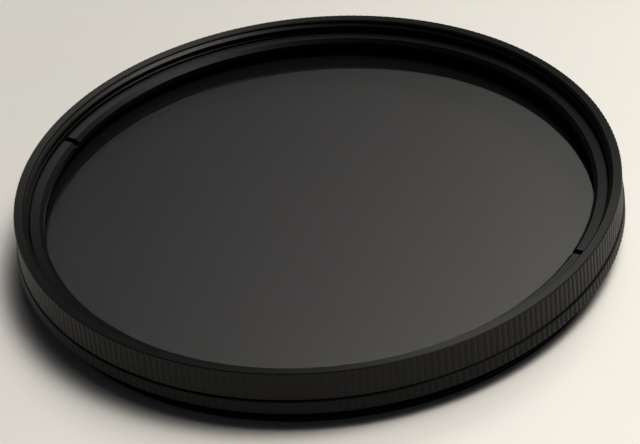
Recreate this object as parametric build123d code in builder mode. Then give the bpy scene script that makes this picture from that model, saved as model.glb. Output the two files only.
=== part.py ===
from build123d import *
import math
import os

# A 67 mm circular polarizing filter for a camera lens, in millimetres.
# It stands on the end of its male thread, front side up. The origin is at the middle of that end face,
# and the optical axis is the Z axis. Heights are built up from the end face towards the front.

# Filter thread, M67 x 0.75, carried as plain cylinders at the thread's outside diameter.
# Every other radius steps out or in from this one.
thread_radius = 33.5
thread_clearance = 0.05
male_thread_length = 2.3
thread_chamfer = 0.3

# Front ring, which is turned by hand and carries the glass
rim_wall = 1.1
front_band_height = 3.67
front_knurl_count = 270
seam_gap = 0.06
skirt_step = 0.55
running_clearance = 0.05
thread_run_out = 0.5
ledge_height = 0.4
ledge_width = 1.1
rim_lead_in = 0.1

# Rear ring, which screws into the lens and stays still
rear_overhang = 0.15
rear_band_height = 1.67
rear_knurl_count = 264
male_thread_wall = 0.9
rear_web = 0.35

# Straight V knurl
knurl_depth = 0.2

# Cemented stack of two glasses with two films between them
glass_clearance = 0.1
glass_thickness = 0.45
polarizer_thickness = 0.12
retarder_thickness = 0.08
film_inset = 0.2

# Retaining ring: a lip that reaches over the glass, on a wall that presses on the glass near its edge
retainer_clearance = 0.05
retainer_height = 2.13
retainer_wall = 0.5
lip_thickness = 1.08
lip_overhang = 1.1
bevel_width = 0.45
bevel_depth = 0.4
slot_width = 0.8
slot_depth = 0.7
slot_wall = 0.1

# Snap ring, a split flat spring
snap_height = 0.4
snap_seat = 0.4
snap_bite = 0.17
snap_hold = 0.2
snap_play = 0.05
snap_split_degrees = 5

# Heights that follow
band_bottom = male_thread_length
band_top = band_bottom + rear_band_height
shoulder = band_bottom + rear_web
front_bottom = band_top + seam_gap
front_top = front_bottom + front_band_height
ledge_top = shoulder + ledge_height
polarizer_bottom = ledge_top + glass_thickness + retarder_thickness
front_glass_bottom = polarizer_bottom + polarizer_thickness
glass_top = front_glass_bottom + glass_thickness
retainer_top = glass_top + retainer_height
snap_bottom = shoulder + snap_seat
snap_top = snap_bottom + snap_height

# Radii that follow
front_ring_radius = thread_radius + rim_wall
rear_ring_radius = front_ring_radius + rear_overhang
male_radius = thread_radius - thread_clearance
rear_bore_radius = male_radius - male_thread_wall
skirt_radius = thread_radius + skirt_step
bearing_radius = skirt_radius + running_clearance
snap_inner = skirt_radius - snap_bite
snap_outer = bearing_radius + snap_hold
seat_radius = thread_radius - thread_run_out
ledge_radius = seat_radius - ledge_width
glass_radius = seat_radius - glass_clearance
retainer_radius = seat_radius - retainer_clearance
wall_radius = retainer_radius - retainer_wall
aperture_radius = wall_radius - lip_overhang


def toothed_disc(radius, count):
    """The outline of a knurled band: V teeth all the way round."""
    step = 2 * math.pi / count
    teeth = []
    for i in range(count):
        crest = i * step
        root = crest + step / 2
        teeth.append((radius * math.cos(crest), radius * math.sin(crest)))
        teeth.append(((radius - knurl_depth) * math.cos(root), (radius - knurl_depth) * math.sin(root)))
    with BuildSketch() as outline:
        with BuildLine():
            Polyline(*teeth, close=True)
        make_face()
    return outline.sketch


# Rear ring: the knurled band, the male thread under it, and a stepped bore.
# The wide upper bore is the bearing that the front ring's skirt turns in.
with BuildPart() as rear_ring:
    with BuildSketch(Plane.XY.offset(band_bottom)):
        add(toothed_disc(rear_ring_radius, rear_knurl_count))
    extrude(amount=rear_band_height)
    with BuildSketch():
        Circle(male_radius)
    extrude(amount=band_bottom)
    chamfer(faces().sort_by(Axis.Z)[0].edges(), length=thread_chamfer)
    with BuildSketch(Plane.XZ):
        with BuildLine():
            Polyline(
                (0, 0),
                (rear_bore_radius, 0),
                (rear_bore_radius, shoulder),
                (bearing_radius, shoulder),
                (bearing_radius, band_top),
                (0, band_top),
                close=True,
            )
        make_face()
    revolve(axis=Axis.Z, mode=Mode.SUBTRACT)
    with BuildSketch(Plane.XY.offset(snap_bottom)):
        Circle(snap_outer + snap_play)
    extrude(amount=snap_height + snap_play, mode=Mode.SUBTRACT)
rear_ring.part.label = "rear_ring"

# Snap ring: it springs outwards into the rear ring's groove and reaches into the skirt's groove,
# so the front ring turns freely and can't be pulled off.
with BuildPart() as snap_ring:
    with BuildSketch(Plane.XZ):
        with BuildLine():
            Polyline(
                (snap_inner, snap_bottom),
                (snap_outer, snap_bottom),
                (snap_outer, snap_top),
                (snap_inner, snap_top),
                close=True,
            )
        make_face()
    revolve(axis=Axis.Z, revolution_arc=360 - snap_split_degrees)
snap_ring.part.label = "snap_ring"

# Front ring: the wide knurled band, and the skirt that goes down inside the rear ring and stands
# on its shoulder. The bore has a lead-in, the female thread, a cone where the thread runs out, the seat
# for the glass and the retaining ring, and a ledge under the glass.
with BuildPart() as front_ring:
    with BuildSketch(Plane.XY.offset(front_bottom)):
        add(toothed_disc(front_ring_radius, front_knurl_count))
    extrude(amount=front_band_height)
    with BuildSketch(Plane.XY.offset(shoulder)):
        Circle(skirt_radius)
    extrude(amount=front_bottom - shoulder)
    with BuildSketch(Plane.XZ):
        with BuildLine():
            Polyline(
                (0, shoulder),
                (ledge_radius, shoulder),
                (ledge_radius, ledge_top),
                (seat_radius, ledge_top),
                (seat_radius, retainer_top - thread_run_out),
                (thread_radius, retainer_top),
                (thread_radius, front_top - rim_lead_in),
                (thread_radius + rim_lead_in, front_top),
                (0, front_top),
                close=True,
            )
        make_face()
    revolve(axis=Axis.Z, mode=Mode.SUBTRACT)
    with BuildSketch(Plane.XY.offset(snap_bottom - snap_play)):
        Circle(bearing_radius)
        Circle(snap_inner - snap_play, mode=Mode.SUBTRACT)
    extrude(amount=snap_height + 3 * snap_play, mode=Mode.SUBTRACT)
front_ring.part.label = "front_ring"

# Rear glass, on the ledge
with BuildPart() as rear_glass:
    with BuildSketch(Plane.XY.offset(ledge_top)):
        Circle(glass_radius)
    extrude(amount=glass_thickness)
rear_glass.part.label = "rear_glass"

# Quarter-wave film, under the polarizer
with BuildPart() as quarter_wave_film:
    with BuildSketch(Plane.XY.offset(ledge_top + glass_thickness)):
        Circle(glass_radius - film_inset)
    extrude(amount=retarder_thickness)
quarter_wave_film.part.label = "quarter_wave_film"

# Polarizing film
with BuildPart() as polarizing_film:
    with BuildSketch(Plane.XY.offset(polarizer_bottom)):
        Circle(glass_radius - film_inset)
    extrude(amount=polarizer_thickness)
polarizing_film.part.label = "polarizing_film"

# Front glass, under the retaining ring
with BuildPart() as front_glass:
    with BuildSketch(Plane.XY.offset(front_glass_bottom)):
        Circle(glass_radius)
    extrude(amount=glass_thickness)
front_glass.part.label = "front_glass"

# Retaining ring: screwed into the seat until its wall presses on the glass. The lip is bevelled
# round its bore, and two slots across it take the spanner.
with BuildPart() as retaining_ring:
    lip_bottom = retainer_top - lip_thickness
    with BuildSketch(Plane.XZ):
        with BuildLine():
            Polyline(
                (aperture_radius, lip_bottom),
                (wall_radius, lip_bottom),
                (wall_radius, glass_top),
                (retainer_radius, glass_top),
                (retainer_radius, retainer_top),
                (aperture_radius + bevel_width, retainer_top),
                (aperture_radius, retainer_top - bevel_depth),
                close=True,
            )
        make_face()
    revolve(axis=Axis.Z)
    with BuildSketch(Plane.XY.offset(retainer_top)):
        Rectangle(2 * (retainer_radius - slot_wall), slot_width)
    extrude(amount=-slot_depth, mode=Mode.SUBTRACT)
retaining_ring.part.label = "retaining_ring"

os.makedirs("parts", exist_ok=True)
export_step(rear_ring.part, "parts/rear_ring.step")
export_step(snap_ring.part, "parts/snap_ring.step")
export_step(front_ring.part, "parts/front_ring.step")
export_step(rear_glass.part, "parts/rear_glass.step")
export_step(quarter_wave_film.part, "parts/quarter_wave_film.step")
export_step(polarizing_film.part, "parts/polarizing_film.step")
export_step(front_glass.part, "parts/front_glass.step")
export_step(retaining_ring.part, "parts/retaining_ring.step")
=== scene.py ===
import bpy
import math
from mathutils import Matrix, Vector


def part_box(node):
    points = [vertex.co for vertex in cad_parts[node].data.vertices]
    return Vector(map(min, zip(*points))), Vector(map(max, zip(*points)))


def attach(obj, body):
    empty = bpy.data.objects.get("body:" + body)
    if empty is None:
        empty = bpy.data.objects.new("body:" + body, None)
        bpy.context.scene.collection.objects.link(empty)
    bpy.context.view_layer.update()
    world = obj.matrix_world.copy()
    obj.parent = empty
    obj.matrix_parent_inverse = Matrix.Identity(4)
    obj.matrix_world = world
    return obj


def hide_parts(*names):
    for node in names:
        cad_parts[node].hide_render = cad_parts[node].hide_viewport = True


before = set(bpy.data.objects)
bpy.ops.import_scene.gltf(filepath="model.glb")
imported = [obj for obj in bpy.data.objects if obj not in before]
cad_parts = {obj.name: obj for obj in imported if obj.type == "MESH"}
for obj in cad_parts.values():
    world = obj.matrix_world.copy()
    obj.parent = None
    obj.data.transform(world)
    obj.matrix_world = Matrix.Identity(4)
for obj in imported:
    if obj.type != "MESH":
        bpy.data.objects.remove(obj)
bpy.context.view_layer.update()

# Camera. A long lens looks down on the filter from a little over arm's length, about 35 degrees above
# the table. The table's edge isn't level in the picture, so the camera is rolled a few degrees.
MM = 0.001
rim_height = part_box("front_ring")[1][2] / MM
camera_azimuth = math.radians(299.5)
camera_elevation = math.radians(35.54)
camera_distance = 483.0
camera_roll = math.radians(5.833)
aim_point = Vector((3.533, -6.370, rim_height))
lens_direction = Vector((
    math.cos(camera_elevation) * math.cos(camera_azimuth),
    math.cos(camera_elevation) * math.sin(camera_azimuth),
    math.sin(camera_elevation),
))
camera_place = Vector((0, 0, rim_height)) + camera_distance * lens_direction
bpy.ops.object.select_all(action="DESELECT")
bpy.ops.object.camera_add(location=camera_place * MM)
camera = bpy.context.object
camera.name = "camera"
camera.data.sensor_width = 36
camera.data.lens = 239.49
camera.data.clip_start = 0.01
camera.rotation_euler = (aim_point - camera_place).to_track_quat("-Z", "Y").to_euler()
camera.rotation_euler.rotate_axis("Z", -camera_roll)
bpy.context.scene.camera = camera
bpy.context.scene.view_settings.view_transform = "Standard"

# Table and light. The table is a sheet of pale card whose colour is painted lighter towards the window and
# darker away from it, a painted pool of window light. A window stands high on the right, the wall behind
# the filter is bright too, and the rest of the room is dim.
bpy.ops.object.select_all(action="DESELECT")
table_size = 4
bpy.ops.mesh.primitive_grid_add(x_subdivisions=8, y_subdivisions=8, size=table_size)
table = bpy.context.object
table.name = "table"
card = bpy.data.materials.new("pale card")
card.use_nodes = True
nodes, links = card.node_tree.nodes, card.node_tree.links
sheet = nodes["Principled BSDF"]
sheet.inputs["Roughness"].default_value = 0.85
sheet.inputs["Specular IOR Level"].default_value = 0.2
place = nodes.new("ShaderNodeTexCoord")
fibre = nodes.new("ShaderNodeTexNoise")
fibre.inputs["Scale"].default_value = 60
fibre.inputs["Detail"].default_value = 6
# Painted light: the card's colour ramps from a darker grey away from the window to a lighter one near it,
# standing in for the window's light across the table.
towards_window = (0.997, 0.078, 0)
painted_light_reach = 0.055
across = nodes.new("ShaderNodeVectorMath")
across.operation = "DOT_PRODUCT"
across.inputs[1].default_value = towards_window
painted_light_ramp = nodes.new("ShaderNodeMapRange")
painted_light_ramp.inputs["From Min"].default_value = -painted_light_reach
painted_light_ramp.inputs["From Max"].default_value = painted_light_reach
painted_light_ramp.interpolation_type = "SMOOTHSTEP"
painted_window_light = nodes.new("ShaderNodeMix")
painted_window_light.data_type = "RGBA"
painted_window_light.inputs["A"].default_value = (0.62, 0.612, 0.59, 1)
painted_window_light.inputs["B"].default_value = (0.90, 0.88, 0.835, 1)
shade = nodes.new("ShaderNodeMix")
shade.data_type = "RGBA"
shade.blend_type = "MULTIPLY"
shade.inputs["Factor"].default_value = 0.04
links.new(place.outputs["Object"], fibre.inputs["Vector"])
links.new(place.outputs["Object"], across.inputs[0])
links.new(across.outputs["Value"], painted_light_ramp.inputs["Value"])
links.new(painted_light_ramp.outputs["Result"], painted_window_light.inputs["Factor"])
links.new(painted_window_light.outputs["Result"], shade.inputs["A"])
links.new(fibre.outputs["Color"], shade.inputs["B"])
links.new(shade.outputs["Result"], sheet.inputs["Base Color"])
table.data.materials.append(card)

room = bpy.data.worlds.new("room")
bpy.context.scene.world = room
room.use_nodes = True
nodes, links = room.node_tree.nodes, room.node_tree.links
around = nodes.new("ShaderNodeTexCoord")


def glow(azimuth, elevation, spread, strength, tone):
    """Light from one side of the room, brightest in one direction and fading away from it."""
    azimuth, elevation = math.radians(azimuth), math.radians(elevation)
    facing = nodes.new("ShaderNodeVectorMath")
    facing.operation = "DOT_PRODUCT"
    facing.inputs[1].default_value = (
        math.cos(elevation) * math.cos(azimuth),
        math.cos(elevation) * math.sin(azimuth),
        math.sin(elevation),
    )
    lit = nodes.new("ShaderNodeMath")
    lit.operation = "MAXIMUM"
    lit.inputs[1].default_value = 0
    falloff = nodes.new("ShaderNodeMath")
    falloff.operation = "POWER"
    falloff.inputs[1].default_value = spread
    light = nodes.new("ShaderNodeVectorMath")
    light.operation = "SCALE"
    light.inputs[0].default_value = tuple(strength * part for part in tone)
    links.new(around.outputs["Generated"], facing.inputs[0])
    links.new(facing.outputs["Value"], lit.inputs[0])
    links.new(lit.outputs["Value"], falloff.inputs[0])
    links.new(falloff.outputs["Value"], light.inputs["Scale"])
    return light.outputs["Vector"]


window = glow(azimuth=46, elevation=69, spread=50, strength=22.0, tone=(1, 0.965, 0.90))
bright_wall = glow(azimuth=98, elevation=48, spread=44, strength=7.4, tone=(1, 0.975, 0.93))
both = nodes.new("ShaderNodeVectorMath")
both.operation = "ADD"
dim_walls = nodes.new("ShaderNodeVectorMath")
dim_walls.operation = "ADD"
dim_walls.inputs[1].default_value = (0.026, 0.028, 0.033)
links.new(window, both.inputs[0])
links.new(bright_wall, both.inputs[1])
links.new(both.outputs["Vector"], dim_walls.inputs[0])
links.new(dim_walls.outputs["Vector"], nodes["Background"].inputs["Color"])
nodes["Background"].inputs["Strength"].default_value = 1.0

# Black anodised aluminium, which all three rings are turned from. The tool leaves fine lines round the
# axis, and the dye is a very dark grey that the light picks out on the edges.


def black_anodised(name, dye, sheen, gleam):
    """Satin black aluminium with turning marks round the optical axis. The dye is its tone, the sheen its
    roughness and the gleam the strength of its reflections, which the marks draw out across the rings.
    Where a ring is given a lower dye and gleam, that extra darkening is painted shade."""
    material = bpy.data.materials.new(name)
    material.use_nodes = True
    nodes, links = material.node_tree.nodes, material.node_tree.links
    metal = nodes["Principled BSDF"]
    metal.inputs["Metallic"].default_value = 0.0
    metal.inputs["IOR"].default_value = 1.5
    metal.inputs["Specular IOR Level"].default_value = gleam
    metal.inputs["Anisotropic"].default_value = 0.85
    metal.inputs["Anisotropic Rotation"].default_value = 0.25
    place = nodes.new("ShaderNodeTexCoord")
    split = nodes.new("ShaderNodeSeparateXYZ")
    flat = nodes.new("ShaderNodeCombineXYZ")
    radius = nodes.new("ShaderNodeVectorMath")
    radius.operation = "LENGTH"
    track = nodes.new("ShaderNodeCombineXYZ")
    lines = nodes.new("ShaderNodeTexNoise")
    lines.inputs["Scale"].default_value = 9000
    lines.inputs["Detail"].default_value = 3
    grain = nodes.new("ShaderNodeTexNoise")
    grain.inputs["Scale"].default_value = 2600
    grain.inputs["Detail"].default_value = 4
    links.new(place.outputs["Object"], split.inputs["Vector"])
    links.new(split.outputs["X"], flat.inputs["X"])
    links.new(split.outputs["Y"], flat.inputs["Y"])
    links.new(flat.outputs["Vector"], radius.inputs[0])
    links.new(radius.outputs["Value"], track.inputs["X"])
    links.new(split.outputs["Z"], track.inputs["Y"])
    links.new(track.outputs["Vector"], lines.inputs["Vector"])
    links.new(place.outputs["Object"], grain.inputs["Vector"])
    colour = nodes.new("ShaderNodeMix")
    colour.data_type = "RGBA"
    colour.inputs["A"].default_value = (dye * 0.75, dye * 0.75, dye * 0.74, 1)
    colour.inputs["B"].default_value = (dye * 1.3, dye * 1.3, dye * 1.27, 1)
    links.new(grain.outputs["Fac"], colour.inputs["Factor"])
    links.new(colour.outputs["Result"], metal.inputs["Base Color"])
    gloss = nodes.new("ShaderNodeMapRange")
    gloss.inputs["To Min"].default_value = sheen - 0.08
    gloss.inputs["To Max"].default_value = sheen + 0.08
    links.new(grain.outputs["Fac"], gloss.inputs["Value"])
    links.new(gloss.outputs["Result"], metal.inputs["Roughness"])
    marks = nodes.new("ShaderNodeBump")
    marks.inputs["Strength"].default_value = 0.25
    marks.inputs["Distance"].default_value = 0.00001
    links.new(lines.outputs["Fac"], marks.inputs["Height"])
    links.new(marks.outputs["Normal"], metal.inputs["Normal"])
    return material


smooth_below = math.radians(25)


def turned_ring(name, section, steps, rise=0.0):
    """A ring spun from its section, which is (radius, height) corners in millimetres. With a rise, the
    section climbs by that much in one turn, as a thread does."""
    bpy.ops.object.select_all(action="DESELECT")
    bpy.ops.mesh.primitive_circle_add(vertices=len(section), radius=MM, fill_type="NOTHING")
    ring = bpy.context.object
    ring.name = name
    for vertex, (radius, height) in zip(ring.data.vertices, section):
        vertex.co = (radius * MM, 0, height * MM)
    turn = ring.modifiers.new("turn", "SCREW")
    turn.steps = steps
    turn.render_steps = steps
    turn.screw_offset = rise * MM
    turn.use_merge_vertices = False
    bpy.ops.object.modifier_apply(modifier="turn")
    return ring


def weld(ring):
    """Joins the seam, drops faces that have shrunk to nothing, and turns the faces outwards."""
    bpy.ops.object.select_all(action="DESELECT")
    ring.select_set(True)
    bpy.context.view_layer.objects.active = ring
    bpy.ops.object.mode_set(mode="EDIT")
    bpy.ops.mesh.select_all(action="SELECT")
    bpy.ops.mesh.remove_doubles(threshold=0.002 * MM)
    bpy.ops.mesh.dissolve_degenerate(threshold=0.001 * MM)
    bpy.ops.mesh.normals_make_consistent(inside=False)
    bpy.ops.object.mode_set(mode="OBJECT")
    bpy.ops.object.shade_smooth_by_angle(angle=smooth_below)


# Front ring, of turned aluminium with a straight knurl, which carries the glass. Its bore has the female
# filter thread, cut with a 60 degree tool, and under it the seat for the glass and its retaining ring.
pitch = 0.75
thread_depth = 0.406
crest_half = pitch / 8
flank = thread_depth * math.tan(math.radians(30))
thread_major = 33.5
knurl_depth = 0.08
edge_break = 0.12
lead_in = 0.1
front_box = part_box("front_ring")
front_radius = front_box[1][0] / MM
front_top = front_box[1][2] / MM
rear_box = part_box("rear_ring")
rear_radius = rear_box[1][0] / MM
band_top = rear_box[1][2] / MM
retainer_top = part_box("retaining_ring")[1][2] / MM
skirt_bottom = front_box[0][2] / MM
seam_gap = 0.06
front_bottom = band_top + seam_gap
seat_radius = 33.0
ledge_radius = 31.9
ledge_height = 0.4
skirt_radius = 34.05
groove_floor = 33.83
groove_low = skirt_bottom + 0.35
groove_high = skirt_bottom + 0.9
seat_top = retainer_top - (thread_major - seat_radius)
front_knurls = 270
crest_phase = 6.788

thread_rows = []
turn_number = math.floor((seat_top - pitch - crest_phase) / pitch)
while crest_phase + turn_number * pitch < front_top + pitch / 2:
    crest = crest_phase + turn_number * pitch
    thread_rows += [
        (thread_major, crest - crest_half - flank),
        (thread_major - thread_depth / 2, crest - crest_half - flank / 2),
        (thread_major - thread_depth, crest - crest_half),
        (thread_major - thread_depth, crest),
        (thread_major - thread_depth, crest + crest_half),
        (thread_major - thread_depth / 2, crest + crest_half + flank / 2),
        (thread_major, crest + crest_half + flank),
    ]
    turn_number += 1
front_section = [
    (seat_radius, skirt_bottom + ledge_height),
    (ledge_radius, skirt_bottom + ledge_height),
    (ledge_radius, skirt_bottom),
    (skirt_radius, skirt_bottom),
    (skirt_radius, groove_low),
    (groove_floor, groove_low),
    (groove_floor, groove_high),
    (skirt_radius, groove_high),
    (skirt_radius, front_bottom),
    (front_radius - edge_break, front_bottom),
    (front_radius, front_bottom + edge_break),
    (front_radius, front_top - edge_break),
    (front_radius - edge_break, front_top),
    (thread_major + lead_in, front_top),
] + thread_rows[::-1]
plain_rows = len(front_section) - len(thread_rows)


def knurl(ring, rows, columns, root):
    """Pushes in one line of each tooth on the corners of the section that lie on the knurled band."""
    count = len(ring.data.vertices)
    size = ring["section_size"]
    for index in range(count):
        if index % size in rows and index // size % columns == columns // 2:
            place = ring.data.vertices[index].co
            outward = Vector((place.x, place.y)).normalized() * root * MM
            place.x, place.y = outward


tooth_columns = 4
front_band_rows = (9, 10, 11, 12)
front_ring = turned_ring("front_ring_knurled", front_section, tooth_columns * front_knurls, pitch)
front_ring["section_size"] = len(front_section)
for index, vertex in enumerate(front_ring.data.vertices):
    row = index % len(front_section)
    if row < plain_rows:
        vertex.co.z = front_section[row][1] * MM
        continue
    height = vertex.co.z / MM
    radius = front_section[row][0]
    height = min(max(height, seat_top), front_top)
    radius = max(radius, thread_major + height - (front_top - lead_in))
    radius = min(radius, thread_major + height - retainer_top)
    outward = Vector((vertex.co.x, vertex.co.y)).normalized() * radius * MM
    vertex.co = (outward.x, outward.y, height * MM)
knurl(front_ring, front_band_rows, tooth_columns, front_radius - knurl_depth)
weld(front_ring)
front_ring.data.materials.append(black_anodised("black anodised front ring", 0.0032, 0.38, 0.17))
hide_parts("front_ring")
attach(front_ring, "front_mount")

# Rear ring, of turned aluminium with a finer knurl, which screws into the lens and stays still. Its male
# thread points down, and its bore is the bearing for the front ring's skirt.
rear_knurls = 264
band_bottom = 2.30
male_major = 33.45
male_end = 0.3
bore_radius = 32.55
snap_groove = 34.35
snap_low = skirt_bottom + 0.4
snap_high = skirt_bottom + 0.85
running_clearance = 0.05
bearing_radius = skirt_radius + running_clearance
male_rows = []
for turn_number in range(-1, 4):
    crest = turn_number * pitch
    male_rows += [
        (male_major - thread_depth, crest - crest_half / 2 - flank),
        (male_major - thread_depth / 2, crest - crest_half / 2 - flank / 2),
        (male_major, crest - crest_half / 2),
        (male_major, crest + crest_half / 2),
        (male_major - thread_depth / 2, crest + crest_half / 2 + flank / 2),
        (male_major - thread_depth, crest + crest_half / 2 + flank),
    ]
rear_section = [
    (rear_radius - edge_break, band_bottom),
    (rear_radius, band_bottom + edge_break),
    (rear_radius, band_top - edge_break),
    (rear_radius - edge_break, band_top),
    (bearing_radius, band_top),
    (bearing_radius, snap_high),
    (snap_groove, snap_high),
    (snap_groove, snap_low),
    (bearing_radius, snap_low),
    (bearing_radius, skirt_bottom),
    (bore_radius, skirt_bottom),
    (bore_radius, 0),
] + male_rows
plain_rows = len(rear_section) - len(male_rows)
rear_band_rows = (0, 1, 2, 3)
rear_ring = turned_ring("rear_ring_knurled", rear_section, tooth_columns * rear_knurls, pitch)
rear_ring["section_size"] = len(rear_section)
for index, vertex in enumerate(rear_ring.data.vertices):
    row = index % len(rear_section)
    if row < plain_rows:
        vertex.co.z = rear_section[row][1] * MM
        continue
    height = min(max(vertex.co.z / MM, 0), band_bottom)
    radius = min(rear_section[row][0], male_major - male_end + height)
    outward = Vector((vertex.co.x, vertex.co.y)).normalized() * radius * MM
    vertex.co = (outward.x, outward.y, height * MM)
knurl(rear_ring, rear_band_rows, tooth_columns, rear_radius - knurl_depth)
weld(rear_ring)
# The rear ring gets a darker dye and a weaker gleam than the front ring. This is painted shade, standing
# in for the shadow that the front ring's overhang casts on the rear band.
rear_ring.data.materials.append(black_anodised("black anodised rear ring with painted shade", 0.002, 0.38, 0.13))
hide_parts("rear_ring")
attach(rear_ring, "rear_mount")

# Retaining ring, of turned aluminium, screwed down on the glass. Its lip is bevelled round the bore, and
# two slots milled across it take a spanner.
glass_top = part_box("front_glass")[1][2] / MM
retainer_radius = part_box("retaining_ring")[1][0] / MM
aperture_radius = 31.35
lip_thickness = 1.08
lip_overhang = 1.1
wall_radius = aperture_radius + lip_overhang
retainer_edge = 0.1
bevel_width = 0.45
bevel_depth = 0.4
retainer_steps = 720
retaining_ring = turned_ring("retaining_ring_lip", [
    (aperture_radius, retainer_top - lip_thickness),
    (wall_radius, retainer_top - lip_thickness),
    (wall_radius, glass_top),
    (retainer_radius, glass_top),
    (retainer_radius, retainer_top - retainer_edge),
    (retainer_radius - retainer_edge, retainer_top),
    (aperture_radius + bevel_width, retainer_top),
    (aperture_radius, retainer_top - bevel_depth),
], retainer_steps)
weld(retaining_ring)
slot_width = 0.8
slot_depth = 0.7
bpy.ops.object.select_all(action="DESELECT")
bpy.ops.mesh.primitive_cube_add(size=1, location=(0, 0, retainer_top * MM))
cutter = bpy.context.object
cutter.scale = (2 * (retainer_radius - retainer_edge) * MM, slot_width * MM, 2 * slot_depth * MM)
bpy.ops.object.transform_apply(location=True, rotation=True, scale=True)
bpy.ops.object.select_all(action="DESELECT")
retaining_ring.select_set(True)
bpy.context.view_layer.objects.active = retaining_ring
slots = retaining_ring.modifiers.new("slots", "BOOLEAN")
slots.object = cutter
slots.solver = "EXACT"
bpy.ops.object.modifier_apply(modifier="slots")
bpy.data.objects.remove(cutter, do_unlink=True)
bpy.ops.object.shade_smooth_by_angle(angle=smooth_below)
retaining_ring.data.materials.append(black_anodised("black anodised retaining ring", 0.002, 0.36, 0.14))
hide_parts("retaining_ring")
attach(retaining_ring, "front_mount")

# Glass. Two flat discs of optical glass are cemented face to face with the films between them, so light
# passes through them as through one block. Their outer edges are ground off against chipping.
glass_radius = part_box("front_glass")[1][0] / MM
glass_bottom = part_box("rear_glass")[0][2] / MM
ground_edge = 0.1
bpy.ops.object.select_all(action="DESELECT")
bpy.ops.mesh.primitive_cylinder_add(
    vertices=360,
    radius=glass_radius * MM,
    depth=(glass_top - glass_bottom) * MM,
    location=(0, 0, (glass_top + glass_bottom) / 2 * MM),
)
glass = bpy.context.object
glass.name = "cemented_glass"
bpy.ops.object.transform_apply(location=True, rotation=True, scale=True)
ground = glass.modifiers.new("ground edge", "BEVEL")
ground.width = ground_edge * MM
ground.segments = 1
ground.limit_method = "ANGLE"
ground.angle_limit = math.radians(60)
bpy.ops.object.modifier_apply(modifier="ground edge")
bpy.ops.object.shade_smooth_by_angle(angle=smooth_below)
clear = bpy.data.materials.new("optical glass")
clear.use_nodes = True
nodes, links = clear.node_tree.nodes, clear.node_tree.links
body = nodes["Principled BSDF"]
body.inputs["Transmission Weight"].default_value = 0.991
body.inputs["IOR"].default_value = 1.52
body.inputs["Roughness"].default_value = 0.0
place = nodes.new("ShaderNodeTexCoord")
haze = nodes.new("ShaderNodeTexNoise")
haze.inputs["Scale"].default_value = 25
haze.inputs["Detail"].default_value = 3
tint = nodes.new("ShaderNodeMix")
tint.data_type = "RGBA"
tint.inputs["A"].default_value = (0.54, 0.54, 0.54, 1)
tint.inputs["B"].default_value = (0.57, 0.57, 0.57, 1)
links.new(place.outputs["Object"], haze.inputs["Vector"])
links.new(haze.outputs["Fac"], tint.inputs["Factor"])
links.new(tint.outputs["Result"], body.inputs["Base Color"])
glass.data.materials.append(clear)
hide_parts("front_glass", "rear_glass")
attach(glass, "front_mount")

# Films. The polarizer is a stretched, dyed plastic film, dark grey to look through, and the quarter-wave
# film under it is clear. Both are cut a little smaller than the glass, and the cement closes round them.
film_gap = 0.005


def film(name, node, tint, direction):
    """A disc of film in its node's place, dyed in fine streaks along the direction it was stretched in."""
    low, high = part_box(node)
    bpy.ops.object.select_all(action="DESELECT")
    bpy.ops.mesh.primitive_cylinder_add(
        vertices=240,
        radius=high[0],
        depth=high[2] - low[2] - 2 * film_gap * MM,
        location=(0, 0, (low[2] + high[2]) / 2),
    )
    disc = bpy.context.object
    disc.name = name
    bpy.ops.object.transform_apply(location=True, rotation=True, scale=True)
    bpy.ops.object.shade_smooth_by_angle(angle=smooth_below)
    material = bpy.data.materials.new(name.replace("_", " "))
    material.use_nodes = True
    nodes, links = material.node_tree.nodes, material.node_tree.links
    body = nodes["Principled BSDF"]
    body.inputs["Transmission Weight"].default_value = 1.0
    body.inputs["IOR"].default_value = 1.0
    body.inputs["Roughness"].default_value = 0.0
    place = nodes.new("ShaderNodeTexCoord")
    stretch = nodes.new("ShaderNodeMapping")
    stretch.inputs["Rotation"].default_value = (0, 0, direction)
    stretch.inputs["Scale"].default_value = (1, 40, 1)
    streaks = nodes.new("ShaderNodeTexNoise")
    streaks.inputs["Scale"].default_value = 30
    dye = nodes.new("ShaderNodeMix")
    dye.data_type = "RGBA"
    dye.inputs["A"].default_value = tuple(0.97 * part for part in tint) + (1,)
    dye.inputs["B"].default_value = tint + (1,)
    links.new(place.outputs["Object"], stretch.inputs["Vector"])
    links.new(stretch.outputs["Vector"], streaks.inputs["Vector"])
    links.new(streaks.outputs["Fac"], dye.inputs["Factor"])
    links.new(dye.outputs["Result"], body.inputs["Base Color"])
    disc.data.materials.append(material)
    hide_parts(node)
    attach(disc, "front_mount")


film("polarizer_disc", "polarizing_film", (0.30, 0.30, 0.32), 0)
film("quarter_wave_disc", "quarter_wave_film", (0.97, 0.97, 0.95), math.radians(45))

# Snap ring, a split flat spring of bright steel wire, hidden in the grooves between the two rings.
steel = bpy.data.materials.new("spring steel")
steel.use_nodes = True
nodes, links = steel.node_tree.nodes, steel.node_tree.links
wire = nodes["Principled BSDF"]
wire.inputs["Metallic"].default_value = 1.0
place = nodes.new("ShaderNodeTexCoord")
drawn = nodes.new("ShaderNodeTexNoise")
drawn.inputs["Scale"].default_value = 900
blue = nodes.new("ShaderNodeMix")
blue.data_type = "RGBA"
blue.inputs["A"].default_value = (0.42, 0.42, 0.43, 1)
blue.inputs["B"].default_value = (0.55, 0.55, 0.56, 1)
rough = nodes.new("ShaderNodeMapRange")
rough.inputs["To Min"].default_value = 0.25
rough.inputs["To Max"].default_value = 0.4
links.new(place.outputs["Object"], drawn.inputs["Vector"])
links.new(drawn.outputs["Fac"], blue.inputs["Factor"])
links.new(blue.outputs["Result"], wire.inputs["Base Color"])
links.new(drawn.outputs["Fac"], rough.inputs["Value"])
links.new(rough.outputs["Result"], wire.inputs["Roughness"])
for slot in bpy.data.objects["snap_ring"].material_slots:
    slot.material = steel
